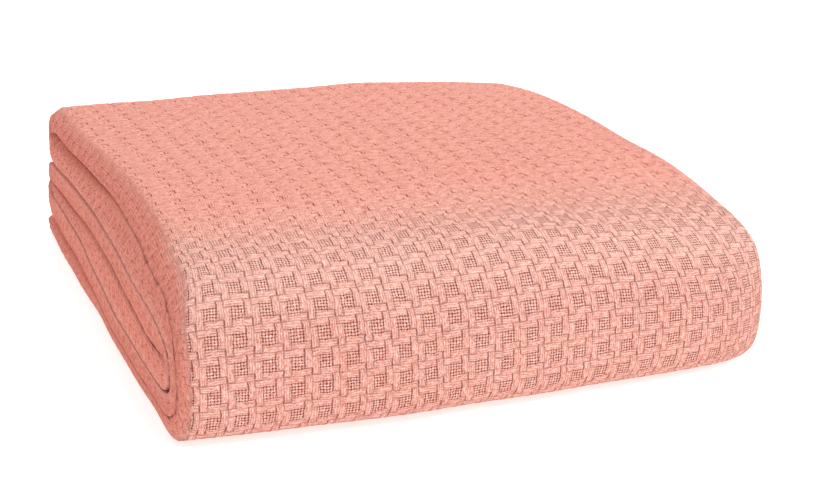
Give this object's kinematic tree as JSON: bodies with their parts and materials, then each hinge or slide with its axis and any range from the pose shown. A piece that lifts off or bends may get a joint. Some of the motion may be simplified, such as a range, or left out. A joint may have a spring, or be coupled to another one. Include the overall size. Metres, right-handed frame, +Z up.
{
  "type": "folded thermal blanket",
  "caption": "Cotton thermal blanket in a raised basket weave, folded into a thick rectangular stack with its smooth fold at the front and its layers showing at the side.",
  "frame": {"origin": "middle of the stack's outline, on the surface that it rests on", "axes": "+X along the smooth front fold, +Y from the front fold to the open back, +Z up"},
  "size_m": [0.3554, 0.4024, 0.0929],
  "materials": {
    "woven_cotton": "matt, soft, slightly fuzzy cotton in a raised basket weave"
  },
  "bodies": {
    "root": {"blanket": "woven_cotton"}
  },
  "joints": []
}
